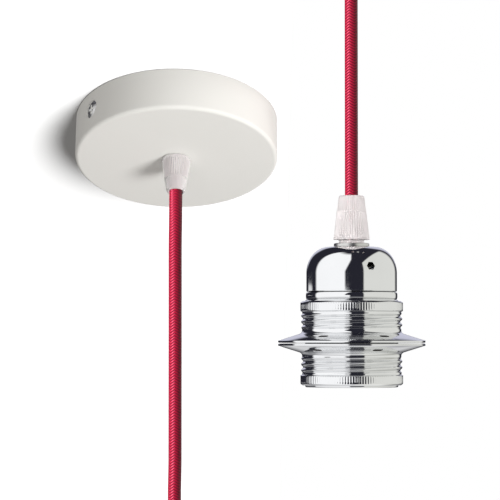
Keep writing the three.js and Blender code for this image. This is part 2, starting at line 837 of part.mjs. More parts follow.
function buildCord() {
  const cord = new THREE.Group();
  cord.add(piece('cord_from_rose', rod(roseStretch, cordRadius, cordSides, 56), 'redTextile'));
  cord.add(piece('cord_to_holder', rod(holderStretch, cordRadius, cordSides, 12), 'redTextile'));

  const coil = new THREE.Group();
  coil.add(piece('cord_coil', coilRing(), 'redTextile'));
  tieAngles.forEach((angle, i) => {
    const tie = piece(`coil_tie_${i + 1}`, coilTie(), 'whiteNylon');
    const turn = new THREE.Group();
    turn.rotation.y = -toRadians(angle);
    tie.position.x = coilMidRadius;
    turn.add(tie);
    coil.add(turn);
  });
  const hook = piece('ceiling_hook', ceilingHook(), 'zinc');
  hook.position.z = coilMidRadius;
  coil.add(hook);
  coil.position.set(coilX, coilY, coilHeight);
  cord.add(coil);
  return cord;
}

const pendant = new THREE.Group();
pendant.add(buildRose(), buildHolder(), buildCord());

export default pendant;
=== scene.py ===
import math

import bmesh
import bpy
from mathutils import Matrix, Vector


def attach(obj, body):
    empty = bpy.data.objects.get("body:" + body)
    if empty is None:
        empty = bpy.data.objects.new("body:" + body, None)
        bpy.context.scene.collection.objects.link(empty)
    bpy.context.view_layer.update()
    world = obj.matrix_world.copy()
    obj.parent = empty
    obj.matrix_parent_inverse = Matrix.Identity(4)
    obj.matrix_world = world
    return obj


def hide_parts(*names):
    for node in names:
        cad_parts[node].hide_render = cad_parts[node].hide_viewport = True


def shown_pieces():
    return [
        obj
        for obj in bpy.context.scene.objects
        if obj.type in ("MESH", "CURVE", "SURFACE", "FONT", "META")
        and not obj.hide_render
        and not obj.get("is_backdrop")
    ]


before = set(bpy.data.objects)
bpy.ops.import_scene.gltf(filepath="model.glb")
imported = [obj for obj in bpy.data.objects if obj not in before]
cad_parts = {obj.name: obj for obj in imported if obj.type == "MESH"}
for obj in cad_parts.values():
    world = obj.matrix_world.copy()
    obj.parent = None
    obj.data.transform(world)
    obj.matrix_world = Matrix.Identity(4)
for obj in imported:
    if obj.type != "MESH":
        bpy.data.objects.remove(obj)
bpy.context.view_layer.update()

# Pendant cord set: a white ceiling rose, a crimson braided cord and a chrome lampholder.
#
# Sizes are in millimetres and are turned into metres when a mesh is made. The origin is
# the middle of the rose's ceiling face, +Z is up and -Y faces the viewer.

MM = 0.001

# Places and sizes shared by the pieces

SLOPE = math.radians(25.6)
ROSE_FRAME = Matrix.Rotation(-SLOPE, 4, "X")
HOLDER_TOP = Vector((69.7, -18, -51.4))
HOLDER_FRAME = Matrix.Translation(HOLDER_TOP * MM)
CORD_RADIUS = 2.6
DRILL_LENGTH = 12


def on_rose_axis(depth):
    """A point on the rose's leaning axis, so many mm below the ceiling."""
    return (0, -depth * math.sin(SLOPE), -depth * math.cos(SLOPE))


# Camera

CAMERA_PLACE = (0.0295, -1.007, -0.08893)
CAMERA_LIFT = math.radians(2.107)


def make_camera():
    """A long lens at the height of the shade rings, looking slightly up."""
    data = bpy.data.cameras.new("camera")
    data.lens = 180
    data.sensor_width = 36
    data.clip_end = 20
    camera = bpy.data.objects.new("camera", data)
    bpy.context.scene.collection.objects.link(camera)
    camera.location = CAMERA_PLACE
    camera.rotation_euler = (math.pi / 2 + CAMERA_LIFT, 0, 0)
    bpy.context.scene.camera = camera


make_camera()


# Shader maths

class Value:
    """A shader socket that can be used in sums."""

    def __init__(self, tree, socket):
        self.tree = tree
        self.socket = socket

    def node(self, kind, inputs=(), output=0, **settings):
        """A new shader node, with its inputs filled and one of its outputs as the value."""
        made = self.tree.nodes.new(kind)
        for key, value in settings.items():
            setattr(made, key, value)
        for key, value in dict(inputs).items():
            if isinstance(value, Value):
                self.tree.links.new(value.socket, made.inputs[key])
            else:
                made.inputs[key].default_value = value
        return Value(self.tree, made.outputs[output])

    def maths(self, operation, other=0.0):
        return self.node("ShaderNodeMath", {0: self, 1: other}, operation=operation)

    def __add__(self, other):
        return self.maths("ADD", other)

    def __sub__(self, other):
        return self.maths("SUBTRACT", other)

    def __mul__(self, other):
        return self.maths("MULTIPLY", other)

    def __truediv__(self, other):
        return self.maths("DIVIDE", other)

    def sine(self):
        return self.maths("SINE")

    def steps(self, low, high):
        """0 at low and 1 at high, whichever of the two is larger."""
        inputs = {0: self, 1: low, 2: high, 3: 0.0, 4: 1.0}
        return self.node("ShaderNodeMapRange", inputs)

    def blend(self, first, second):
        """The first colour at 0 and the second at 1."""
        inputs = {0: self, 6: first, 7: second}
        return self.node("ShaderNodeMix", inputs, 2, data_type="RGBA")

    def split(self, axis):
        """One of a vector's parts: 0, 1 or 2."""
        return self.node("ShaderNodeSeparateXYZ", {0: self}, axis)

    def noise(self, scale, detail):
        inputs = {"Vector": self, "Scale": scale, "Detail": detail}
        return self.node("ShaderNodeTexNoise", inputs)

    def bump(self, distance, strength):
        inputs = {"Height": self, "Distance": distance, "Strength": strength}
        return self.node("ShaderNodeBump", inputs)


def rgb(red, green, blue):
    """An sRGB colour in 0 to 255 as a linear one."""
    parts = [c / 255 for c in (red, green, blue)]
    return tuple(
        c / 12.92 if c <= 0.04045 else ((c + 0.055) / 1.055) ** 2.4 for c in parts
    ) + (1.0,)


def new_material(name):
    """A material, a value to start its shader nodes from, and its surface."""
    material = bpy.data.materials.new(name)
    material.use_nodes = True
    tree = material.node_tree
    surface = tree.nodes["Principled BSDF"]
    start = Value(tree, None)
    return material, start, surface


def place_of(start):
    """The object's own coordinates."""
    return start.node("ShaderNodeTexCoord", output=3)


def connect(surface, **inputs):
    """Sets the surface's inputs; an underscore in a name stands for a space."""
    for key, value in inputs.items():
        socket = surface.inputs[key.replace("_", " ")]
        if isinstance(value, Value):
            value.tree.links.new(value.socket, socket)
        else:
            socket.default_value = value


# Mesh helpers

WELD = 0.000002


def arc(centre, radii, start, end, steps):
    """Points of an elliptic arc in (radius, height), in degrees."""
    points = []
    for i in range(steps + 1):
        angle = math.radians(start + (end - start) * i / steps)
        points.append((
            centre[0] + radii[0] * math.cos(angle),
            centre[1] + radii[1] * math.sin(angle),
        ))
    return points


def lathe(name, outline, steps):
    """Spins a closed outline of (radius, height) points, in mm, about the Z axis."""
    points = outline + outline[:1]
    vertices = [(r * MM, 0, z * MM) for r, z in points]
    edges = [(i, i + 1) for i in range(len(points) - 1)]
    mesh = bpy.data.meshes.new(name)
    mesh.from_pydata(vertices, edges, [])
    obj = bpy.data.objects.new(name, mesh)
    bpy.context.scene.collection.objects.link(obj)
    select_only(obj)
    bpy.ops.object.mode_set(mode="EDIT")
    bpy.ops.mesh.select_all(action="SELECT")
    bpy.ops.mesh.spin(steps=steps, angle=2 * math.pi, center=(0, 0, 0), axis=(0, 0, 1))
    bpy.ops.mesh.select_all(action="SELECT")
    bpy.ops.mesh.remove_doubles(threshold=WELD)
    bpy.ops.mesh.normals_make_consistent(inside=False)
    bpy.ops.object.mode_set(mode="OBJECT")
    return obj


def select_only(obj):
    """Makes obj the one that the next operator works on."""
    bpy.ops.object.select_all(action="DESELECT")
    obj.select_set(True)
    bpy.context.view_layer.objects.active = obj


def smooth(obj, angle):
    """Shades obj smooth, apart from edges sharper than the angle in degrees."""
    select_only(obj)
    bpy.ops.object.shade_smooth_by_angle(angle=math.radians(angle))


def displace(obj, shift):
    """Moves each point in or out from the Z axis, by shift(angle, height, radius) mm."""
    for vertex in obj.data.vertices:
        x, y, z = vertex.co / MM
        radius = math.hypot(x, y)
        scale = 1 + shift(math.atan2(y, x), z, radius) / radius
        vertex.co = Vector((x * scale, y * scale, z)) * MM
    obj.data.update()


def cut(obj, cutter):
    """Takes the cutter's shape out of obj and removes the cutter."""
    change = obj.modifiers.new("cut", "BOOLEAN")
    change.object = cutter
    change.solver = "EXACT"
    select_only(obj)
    bpy.ops.object.modifier_apply(modifier="cut")
    bpy.data.objects.remove(cutter)


def ridge(height, pitch, depth, angle, start, end):
    """How far a rolled thread stands out at a height, fading away at both ends."""
    fade = min(1, max(0, (height - start) / (0.5 * pitch)))
    fade *= min(1, max(0, (end - height) / (0.5 * pitch)))
    return 0.5 * depth * fade * math.cos(2 * math.pi * height / pitch - angle)


def finish_piece(obj, material, replaced):
    obj.data.materials.clear()
    obj.data.materials.append(material)
    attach(obj, "root")
    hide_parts(*replaced)


def paint_nodes(material, names):
    """Gives kept CAD nodes a better material."""
    for name in names:
        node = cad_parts[name]
        for place in node.material_slots:
            place.link = "OBJECT"
            place.material = material


# Cord: one length of braided textile cord. It leaves the rose's grip, goes down and round
# in a wide bend, up to a tied coil on its hook, and down to the lampholder.

COIL_RADIUS = 31
COIL_PITCH = 5.35
COIL_TURNS = 3.5
COIL_CENTRE = (100.7, 84)
COIL_FIRST_Y = -36.725
COIL_STEPS = 18
CORD_STEP = 2.0
CORD_SIDES = 24
BRAID_COLUMNS = 8
BRAID_PITCH = 1.12
BRAID_RISE = 1.0

ROSE_STRETCH = [
    on_rose_axis(10.7), on_rose_axis(21), on_rose_axis(32.4),
    (0, -15.9, -34.8), (0, -17.4, -41.5), (-0.1, -18, -50), (-0.1, -18, -72),
    (-0.1, -18, -104), (-0.1, -18, -134), (-0.1, -18, -157), (2.8, -18, -180),
    (12.2, -18.4, -200), (27.8, -19.8, -215.5), (48, -22.5, -224), (69, -26, -226.5),
    (90, -29.8, -223), (109, -33.4, -212), (123, -35.8, -195.5), (130.8, -36.7, -176),
    (133.4, -36.7, -155), (133.8, -36.7, -120), (133.8, -36.7, -75), (133.6, -36.7, -25),
    (132.8, -36.7, 20), (132, -36.7, 50), (131.7, -36.7, 65.6),
]
HOLDER_STRETCH = [
    (69.7, -18, 65.6), (69.7, -18, 45), (69.7, -18, 20), (69.7, -18, -5),
    (69.7, -18, -30), (69.7, -18, -45), (69.7, -18, -56),
]


def coil_points():
    """The coil's centreline: turns round the Y axis that step away from the viewer."""
    points = []
    total = round(COIL_TURNS * COIL_STEPS)
    for i in range(total + 1):
        angle = 2 * math.pi * i / COIL_STEPS
        points.append((
            COIL_CENTRE[0] + COIL_RADIUS * math.cos(angle),
            COIL_FIRST_Y + COIL_PITCH * i / COIL_STEPS,
            COIL_CENTRE[1] + COIL_RADIUS * math.sin(angle),
        ))
    return points


def smooth_line(points, step):
    """A centripetal curve through the points, in metres, sampled about every step mm."""
    knots = [Vector(p) for p in points]
    knots = [2 * knots[0] - knots[1]] + knots + [2 * knots[-1] - knots[-2]]
    line = []
    for p0, p1, p2, p3 in zip(knots, knots[1:], knots[2:], knots[3:]):
        t1 = (p1 - p0).length ** 0.5
        t2 = t1 + (p2 - p1).length ** 0.5
        t3 = t2 + (p3 - p2).length ** 0.5
        count = max(1, round((p2 - p1).length / step))
        for i in range(count):
            t = t1 + (t2 - t1) * i / count
            a1 = p0 * ((t1 - t) / t1) + p1 * (t / t1)
            a2 = p1 * ((t2 - t) / (t2 - t1)) + p2 * ((t - t1) / (t2 - t1))
            a3 = p2 * ((t3 - t) / (t3 - t2)) + p3 * ((t - t2) / (t3 - t2))
            b1 = a1 * ((t2 - t) / t2) + a2 * (t / t2)
            b2 = a2 * ((t3 - t) / (t3 - t1)) + a3 * ((t - t1) / (t3 - t1))
            c = b1 * ((t2 - t) / (t2 - t1)) + b2 * ((t - t1) / (t2 - t1))
            line.append(c * MM)
    line.append(knots[-2] * MM)
    return line


def tube(name, line, radius, sides):
    """A round tube along a line. Its UV map has the turn and the length in metres."""
    mesh = bpy.data.meshes.new(name)
    shape = bmesh.new()
    uv = shape.loops.layers.uv.new("along")
    side = Vector((1, 0, 0))
    rings = []
    lengths = [0.0]
    for i, point in enumerate(line):
        before = line[max(0, i - 1)]
        after = line[min(len(line) - 1, i + 1)]
        forward = (after - before).normalized()
        side = (side - forward * side.dot(forward)).normalized()
        other = forward.cross(side)
        if i:
            lengths.append(lengths[-1] + (point - before).length)
        ring = []
        for k in range(sides):
            angle = 2 * math.pi * k / sides
            out = side * math.cos(angle) + other * math.sin(angle)
            ring.append(shape.verts.new(point + out * radius * MM))
        rings.append(ring)
    for i in range(len(rings) - 1):
        for k in range(sides):
            after = (k + 1) % sides
            face = shape.faces.new((
                rings[i][k], rings[i][after], rings[i + 1][after], rings[i + 1][k],
            ))
            turns = (k, k + 1, k + 1, k)
            rows = (i, i, i + 1, i + 1)
            for loop, turn, row in zip(face.loops, turns, rows):
                loop[uv].uv = (turn / sides, lengths[row])
            face.smooth = True
    shape.faces.new(list(reversed(rings[0])))
    shape.faces.new(rings[-1])
    shape.to_mesh(mesh)
    shape.free()
    obj = bpy.data.objects.new(name, mesh)
    bpy.context.scene.collection.objects.link(obj)
    return obj


def textile():
    """A fine silky braid: columns of strands that lean one way and then the other."""
    material, start, surface = new_material("red_textile")
    uv = start.node("ShaderNodeUVMap", uv_map="along")
    lean = (uv.split(0) * BRAID_COLUMNS).maths("PINGPONG", 1.0)
    rows = uv.split(1) / (BRAID_PITCH * MM) - lean * BRAID_RISE
    crown = (rows * math.pi).sine().maths("ABSOLUTE")
    fibre = place_of(start).noise(1500.0, 1.0)
    drift = place_of(start).noise(60.0, 2.0)
    height = crown + fibre * 0.1
    # The grooves between the strands are painted near black as painted shade; the crowns
    # keep the cord's own crimson.
    shade = crown.steps(0.15, 0.85)
    groove_shade = drift.blend(rgb(50, 0, 10), rgb(66, 0, 16))
    colour = shade.blend(groove_shade, rgb(146, 12, 42))
    connect(
        surface,
        Base_Color=colour,
        Roughness=0.4,
        Specular_IOR_Level=0.7,
        Specular_Tint=rgb(255, 140, 168),
        Normal=height.bump(0.0003, 0.6),
    )
    return material


def make_cord():
    points = ROSE_STRETCH + coil_points() + HOLDER_STRETCH
    line = smooth_line(points, CORD_STEP)
    cord = tube("cord", line, CORD_RADIUS, CORD_SIDES)
    finish_piece(cord, textile(), [
        "cord_from_rose", "cord_coil", "cord_to_holder",
    ])
    length = sum((b - a).length for a, b in zip(line, line[1:]))


make_cord()


# Rose cup: a shallow pressed bowl with a rounded edge and a powder coat. It has a hole
# for the cord grip in its middle and two holes for the side screws.

ROSE_RADIUS = 40.5
ROSE_HEIGHT = 17.8
ROSE_WALL = 0.8
ROSE_CORNER = 1.6
ROSE_MOUTH = 0.25
GRIP_HOLE = 4.3
SCREW_ANGLE = math.radians(-145)
SCREW_DEPTH = 8
SCREW_HOLE = 3.7


def powder_coat():
    material, start, surface = new_material("white_coat")
    place = place_of(start)
    grain = place.noise(900.0, 2.0)
    cloud = place.noise(40.0, 2.0)
    colour = cloud.blend(rgb(232, 231, 226), rgb(236, 235, 231))
    connect(
        surface,
        Base_Color=colour,
        Roughness=cloud * 0.1 + 0.52,
        Specular_IOR_Level=0.35,
        Normal=grain.bump(0.00006, 0.5),
    )
    return material


def make_rose_cup():
    edge = (ROSE_RADIUS - ROSE_CORNER, -ROSE_HEIGHT + ROSE_CORNER)
    outer = (ROSE_CORNER, ROSE_CORNER)
    inner = (ROSE_CORNER - ROSE_WALL, ROSE_CORNER - ROSE_WALL)
    bore = ROSE_RADIUS - ROSE_WALL
    outline = [(ROSE_RADIUS - ROSE_MOUTH, 0), (ROSE_RADIUS, -ROSE_MOUTH)]
    outline += arc(edge, outer, 0, -90, 12)
    outline += [(GRIP_HOLE, -ROSE_HEIGHT), (GRIP_HOLE, -ROSE_HEIGHT + ROSE_WALL)]
    outline += arc(edge, inner, -90, 0, 8)
    outline += [(bore, -0.1), (bore + 0.15, 0)]
    cup = lathe("rose_cup_shell", outline, 160)
    turn = Matrix.Rotation(SCREW_ANGLE, 4, "Z")
    down = Matrix.Translation((0, 0, -SCREW_DEPTH * MM))
    across = Matrix.Rotation(math.pi / 2, 4, "Y")
    bpy.ops.mesh.primitive_cylinder_add(
        vertices=48, radius=SCREW_HOLE * MM, depth=3 * ROSE_RADIUS * MM,
    )
    drill = bpy.context.object
    drill.data.transform(turn @ down @ across)
    cut(cup, drill)
    cup.data.transform(ROSE_FRAME)
    smooth(cup, 25)
    finish_piece(cup, powder_coat(), ["rose_cup"])


make_rose_cup()


# Fittings that keep their CAD shape: the zinc plated strap, screws, nut and hook, the
# brass contacts and sleeves, the porcelain insert, the nylon terminal block and ties, and
# the cores.

def zinc_plate():
    material, start, surface = new_material("zinc")
    place = place_of(start)
    streaks = place.noise(350.0, 4.0)
    cloud = place.noise(90.0, 3.0)
    connect(
        surface,
        Base_Color=cloud.blend(rgb(200, 200, 199), rgb(226, 225, 222)),
        Metallic=1.0,
        Roughness=streaks * 0.18 + 0.24,
        Normal=streaks.bump(0.00004, 0.4),
    )
    return material


def brass_plate():
    material, start, surface = new_material("brass")
    place = place_of(start)
    cloud = place.noise(120.0, 3.0)
    connect(
        surface,
        Base_Color=cloud.blend(rgb(186, 146, 78), rgb(214, 178, 108)),
        Metallic=1.0,
        Roughness=cloud * 0.15 + 0.22,
        Normal=place.noise(700.0, 3.0).bump(0.00003, 0.3),
    )
    return material


def porcelain_glaze():
    material, start, surface = new_material("porcelain")
    place = place_of(start)
    connect(
        surface,
        Base_Color=place.noise(150.0, 2.0).blend(rgb(232, 228, 216), rgb(242, 239, 230)),
        Roughness=0.22,
        Coat_Weight=0.5,
        Normal=place.noise(260.0, 2.0).bump(0.00008, 0.3),
    )
    return material


def moulded_nylon(name, colour):
    material, start, surface = new_material(name)
    place = place_of(start)
    grain = place.noise(1200.0, 2.0)
    shade = tuple(c * 0.85 for c in colour[:3]) + (1.0,)
    connect(
        surface,
        Base_Color=place.noise(80.0, 2.0).blend(shade, colour),
        Roughness=grain * 0.15 + 0.4,
        Normal=grain.bump(0.00004, 0.4),
    )
    return material


ZINC = zinc_plate()
WHITE_NYLON = moulded_nylon("white_nylon", rgb(236, 236, 232))
SCREW_NODES = [f"terminal_screw_{end}_{i}" for end in ("in", "out") for i in (1, 2, 3)]
paint_nodes(ZINC, [
    "ceiling_strap", "side_screw_left", "side_screw_right", "dome_bush_nut",
    "ceiling_hook",
])
paint_nodes(ZINC, SCREW_NODES)
paint_nodes(brass_plate(), [
    "socket_screw_shell", "centre_contact", "socket_screw_live", "socket_screw_neutral",
    "socket_screw_earth", "terminal_sleeve_1", "terminal_sleeve_2", "terminal_sleeve_3",
])
paint_nodes(porcelain_glaze(), ["socket_insert"])
paint_nodes(WHITE_NYLON, ["terminal_housing", "coil_tie_1", "coil_tie_2"])
CORE_COLOURS = {
    "live": rgb(96, 58, 38),
    "neutral": rgb(44, 92, 176),
    "earth": rgb(140, 176, 48),
}
for core, colour in CORE_COLOURS.items():
    paint_nodes(moulded_nylon(f"core_{core}", colour), [
        f"rose_core_{core}", f"holder_core_{core}",
    ])


# Cord grips: frosted nylon cones with fine ribs, which are shallower at the narrow end,
# and a threaded stem inside.

GRIP_RIBS = 44
GRIP_RIB_DEPTH = 0.3
GRIP_END_RIB_DEPTH = 0.14
RIBBED_SHARE = 0.66
GRIP_ROWS = 24
GRIP_PLAY = 0.3
GRIP_STEP = 0.1
GRIP_EDGE = 0.35
GRIP_END_ROUND = 0.6
HOLDER_GRIP_LIFT = 2.6
ROSE_GRIP = {"length": 14.8, "base": 5.95, "end": 3.75, "stem": 4, "stem_out": 6}
HOLDER_GRIP = {"length": 17.8, "base": 7.2, "end": 5.1, "stem": 5, "stem_out": 8}


def frosted_nylon():
    material, start, surface = new_material("clear_nylon")
    place = place_of(start)
    cloud = place.noise(160.0, 3.0)
    connect(
        surface,
        Base_Color=cloud.blend(rgb(236, 231, 231), rgb(244, 240, 240)),
        Roughness=cloud * 0.15 + 0.38,
        IOR=1.38,
        Transmission_Weight=0.55,
        Normal=place.noise(700.0, 2.0).bump(0.00005, 0.4),
    )
    return material


def grip_cone(name, grip, place):
    """A cone with its wide end at zero, pointing down."""
    length = grip["length"]
    bore = CORD_RADIUS + GRIP_PLAY
    pocket = grip["stem"] + GRIP_PLAY
    seat = -grip["stem_out"] - GRIP_PLAY
    ribbed = length * RIBBED_SHARE
    rib_top = -0.9
    lip = -0.3
    edge = (grip["base"] - GRIP_EDGE, lip - GRIP_EDGE)

    def radius_at(depth):
        return grip["base"] + (grip["end"] - grip["base"]) * depth / length

    outline = [(pocket, lip), (edge[0], lip)]
    outline += arc(edge, (GRIP_EDGE, GRIP_EDGE), 75, 0, 4)
    for i in range(2, GRIP_ROWS + 1):
        depth = ribbed * i / GRIP_ROWS
        outline.append((radius_at(depth), -depth))
    outline += [(radius_at(ribbed) - GRIP_STEP, -ribbed - 0.35)]
    outline += [(radius_at(length - 0.8) - GRIP_STEP, -length + 0.8)]
    end = (radius_at(length) - 0.75, -length + GRIP_END_ROUND)
    outline += arc(end, (GRIP_END_ROUND, GRIP_END_ROUND), 0, -90, 6)
    outline += [(bore + 0.2, -length), (bore, -length + 0.2)]
    outline += [(bore, seat - 0.6), (pocket, seat)]
    cone = lathe(name, outline, GRIP_RIBS * 6)

    def rib(angle, height, radius):
        wave = 0.5 - 0.5 * math.cos(angle * GRIP_RIBS)
        if -length + 0.7 < height < -ribbed - 0.2 and radius > bore + 0.4:
            return -GRIP_END_RIB_DEPTH * wave
        if radius < pocket + GRIP_PLAY or height > rib_top or height < -ribbed:
            return 0
        fade = min(1, (rib_top - height) / 0.8) * min(1, (height + ribbed) / 0.6)
        return -GRIP_RIB_DEPTH * fade * wave

    displace(cone, rib)
    cone.data.transform(place)
    smooth(cone, 40)
    return cone


def make_grips():
    nylon = frosted_nylon()
    paint_nodes(nylon, ["rose_grip_stem", "rose_grip_nut", "holder_grip_stem"])
    at_rose = ROSE_FRAME @ Matrix.Translation((0, 0, -ROSE_HEIGHT * MM))
    cone = grip_cone("rose_grip", ROSE_GRIP, at_rose)
    finish_piece(cone, nylon, ["rose_grip_cone"])
    flip = Matrix.Rotation(math.pi, 4, "X")
    lift = Matrix.Translation((0, 0, HOLDER_GRIP_LIFT * MM))
    cone = grip_cone("holder_grip", HOLDER_GRIP, HOLDER_FRAME @ lift @ flip)
    finish_piece(cone, nylon, ["holder_grip_cone"])


make_grips()


# Holder dome: polished cap with wide round shoulders and a small six-sided lock hole. A
# plated bush stands in its top, under the cord grip.

DOME_RADIUS = 17.9
DOME_HEIGHT = 17.7
DOME_WALL = 0.7
DOME_SHOULDER = (8.6, 10.4)
DOME_OPENING = 6.5
LOCK_HOLE = 1.75
LOCK_HOLE_DEPTH = 7.9
LOCK_HOLE_ANGLE = math.radians(-67)
BUSH_TOP = 1.5
BUSH_BOTTOM = -4.9
BUSH_BORE = 5.3
BUSH_BODY = 6.2
BUSH_FLANGE = 7.0
BUSH_ROUND = 0.4


def chrome():
    material, start, surface = new_material("chrome")
    place = place_of(start)
    cloud = place.noise(70.0, 3.0)
    swirl = place.noise(900.0, 4.0)
    # A face mark paints the rings' slot walls and inner flange sides dark grey and rougher:
    # painted shade between the rings.
    dull = start.node("ShaderNodeAttribute", output=2, attribute_name="dull")
    bright = cloud.blend(rgb(228, 229, 230), rgb(238, 239, 240))
    connect(
        surface,
        Base_Color=dull.blend(bright, rgb(58, 54, 55)),
        Metallic=1.0,
        Roughness=swirl * 0.05 + dull * 0.4 + 0.035,
        Normal=cloud.bump(0.00006, 0.25),
    )
    return material


CHROME = chrome()


def make_dome():
    reach, drop = DOME_SHOULDER
    centre = (DOME_RADIUS - reach, -drop)
    outline = [(DOME_OPENING, 0)]
    outline += arc(centre, (reach, drop), 90, 0, 24)
    outline += [(DOME_RADIUS, -DOME_HEIGHT + 0.3), (DOME_RADIUS - 0.3, -DOME_HEIGHT)]
    outline += [(DOME_RADIUS - DOME_WALL, -DOME_HEIGHT)]
    inner = (reach - DOME_WALL * 0.3, drop - DOME_WALL)
    outline += arc((centre[0] - 0.4, centre[1]), inner, 0, 90, 16)
    outline += [(DOME_OPENING, -DOME_WALL)]
    dome = lathe("dome_shell", outline, 128)
    bpy.ops.mesh.primitive_cylinder_add(
        vertices=6, radius=LOCK_HOLE * MM, depth=DRILL_LENGTH * MM,
    )
    drill = bpy.context.object
    turn = Matrix.Rotation(LOCK_HOLE_ANGLE, 4, "Z")
    out = Matrix.Translation((DOME_RADIUS * MM, 0, -LOCK_HOLE_DEPTH * MM))
    drill.data.transform(turn @ out @ Matrix.Rotation(math.pi / 2, 4, "Y"))
    cut(dome, drill)
    dome.data.transform(HOLDER_FRAME)
    smooth(dome, 30)
    finish_piece(dome, CHROME, ["holder_dome"])


def make_bush():
    edge = (BUSH_FLANGE - BUSH_ROUND, BUSH_TOP - BUSH_ROUND)
    outline = [(BUSH_BORE, BUSH_TOP), (edge[0], BUSH_TOP)]
    outline += arc(edge, (BUSH_ROUND, BUSH_ROUND), 90, 0, 5)
    outline += [(BUSH_FLANGE, 0.3), (BUSH_BODY, 0.3)]
    outline += [(BUSH_BODY, BUSH_BOTTOM), (BUSH_BORE, BUSH_BOTTOM)]
    bush = lathe("bush", outline, 96)
    bush.data.transform(HOLDER_FRAME)
    smooth(bush, 30)
    finish_piece(bush, ZINC, ["dome_bush"])


make_dome()
make_bush()


# Barrel: the chrome tube under the dome. It has a rolled bead at its top, a rounded lip
# at its open bottom and a plain wall that the shade rings hide.

BARREL_RADIUS = 18.4
BARREL_WALL = 0.7
BARREL_BOTTOM = 55.4
BARREL_BEAD = 2.6
BARREL_BEAD_STEP = 0.3
BARREL_LIP = 0.6


def make_barrel():
    top = -DOME_HEIGHT - 0.3
    waist = DOME_RADIUS - BARREL_BEAD_STEP / 3
    wall_top = top - BARREL_BEAD - 0.6
    inner = BARREL_RADIUS - BARREL_WALL
    bead = (waist, top - BARREL_BEAD / 2)
    lip = (BARREL_RADIUS - BARREL_LIP, -BARREL_BOTTOM + BARREL_LIP)
    outline = [(waist, top)]
    outline += arc(bead, (BARREL_BEAD_STEP, BARREL_BEAD / 2), 80, -80, 16)
    outline += [(waist, wall_top + 0.4), (BARREL_RADIUS, wall_top)]
    outline += arc(lip, (BARREL_LIP, BARREL_LIP), 0, -90, 8)
    outline += [(inner, -BARREL_BOTTOM), (inner, wall_top - 1)]
    outline += [(waist - BARREL_WALL, wall_top), (waist - BARREL_WALL, top)]
    barrel = lathe("barrel", outline, 128)
    barrel.data.transform(HOLDER_FRAME)
    smooth(barrel, 30)
    finish_piece(barrel, CHROME, ["holder_barrel"])


make_barrel()


# Shade rings: two pressed rings back to back. Each has a sloping flange with slots, a
# neck with a rolled thread, and a knurled edge.

RING_RADIUS = 29.1
RING_RIM = 1
RIM_EDGE = 0.06
RING_UNDER = 0.15
RING_SHEET = 0.8
RING_NECK = 19.6
RING_FILLET = (1.8, 1.5)
RING_FOOT = 5
RING_HEIGHT = 16.6
RING_PITCH = 2.4
RING_THREAD = (5.2, 12.2)
RING_THREAD_DEPTH = 0.8
RING_ROWS = 56
KNURL = (12.6, 16.1)
KNURL_STEP = 0.65
KNURL_TEETH = 120
KNURL_DEPTH = 0.12
RING_SLOTS = 6
SLOT_RADIUS = 1.0
SLOT_STRETCH = 1.1
SLOT_PLACE = 23.6
RING_MEET = 38
LOWER_RING_TURN = math.radians(7)


def shade_ring(name, place, node):
    """A ring that stands on its flange, with its neck and knurled edge upwards."""
    bore = RING_NECK - RING_SHEET
    centre = (RING_NECK + RING_FILLET[0], RING_FOOT)
    under = (RING_FILLET[0] + RING_SHEET, RING_FILLET[1] + RING_SHEET)
    band = RING_NECK + KNURL_STEP
    outline = [(RING_RADIUS - 0.3, RING_UNDER), (RING_RADIUS, RING_UNDER + 0.25)]
    outline += [(RING_RADIUS, RING_RIM - RIM_EDGE), (RING_RADIUS - RIM_EDGE, RING_RIM)]
    outline += arc(centre, RING_FILLET, 255, 180, 10)
    start, end = RING_THREAD
    for i in range(RING_ROWS + 1):
        outline.append((RING_NECK, start + (end - start) * i / RING_ROWS))
    outline += [(RING_NECK, KNURL[0] - 0.25), (band - 0.15, KNURL[0])]
    outline += [(band, KNURL[0] + 0.2)]
    outline += [(band, KNURL[0] + 0.5 * i) for i in range(1, 7)]
    outline += [(band, KNURL[1] - 0.2), (band - 0.2, KNURL[1] + 0.1)]
    outline += [(RING_NECK - 0.2, RING_HEIGHT), (bore, RING_HEIGHT)]
    outline += arc(centre, under, 180, 250, 10)
    outline += [(RING_RADIUS - 2 * RING_SHEET, RING_UNDER)]
    ring = lathe(name, outline, KNURL_TEETH * 4)

    def shape(angle, height, radius):
        if radius < bore + RING_SHEET / 2:
            return 0
        if start < height < end:
            return ridge(height, RING_PITCH, RING_THREAD_DEPTH, angle, start, end)
        if KNURL[0] + 0.3 < height < KNURL[1] - 0.3 and radius > band - 0.1:
            return -KNURL_DEPTH * (0.5 - 0.5 * math.cos(angle * KNURL_TEETH))
        return 0

    displace(ring, shape)
    cut(ring, slot_drills())
    paint_inside_shade(ring)
    ring.data.transform(place)
    smooth(ring, 30)
    finish_piece(ring, CHROME, [node])


def slot_drills():
    """Round-ended drills for all of a ring's slots, joined into one object."""
    drills = []
    for i in range(RING_SLOTS):
        bpy.ops.mesh.primitive_cylinder_add(
            vertices=24, radius=SLOT_RADIUS * MM, depth=DRILL_LENGTH * MM,
        )
        drill = bpy.context.object
        for vertex in drill.data.vertices:
            vertex.co.x += math.copysign(SLOT_STRETCH, vertex.co.x) * MM
        out = Matrix.Translation((0, SLOT_PLACE * MM, 2 * MM))
        turn = Matrix.Rotation(2 * math.pi * (i + 0.5) / RING_SLOTS, 4, "Z")
        drill.data.transform(turn @ out)
        drills.append(drill)
    select_only(drills[0])
    for drill in drills:
        drill.select_set(True)
    bpy.ops.object.join()
    return drills[0]


def paint_inside_shade(ring):
    """Marks the slots' walls and the flange's inner side, which the chrome paints dark grey
    and rougher as painted shade between the rings.
    """
    marks = ring.data.attributes.new("dull", "FLOAT", "FACE")
    for face, mark in zip(ring.data.polygons, marks.data):
        radius = math.hypot(face.center.x, face.center.y) / MM
        inside = RING_NECK + RING_FILLET[0] < radius < RING_RADIUS - 2 * RING_SHEET
        mark.value = float(inside and face.normal.z < 0.6)


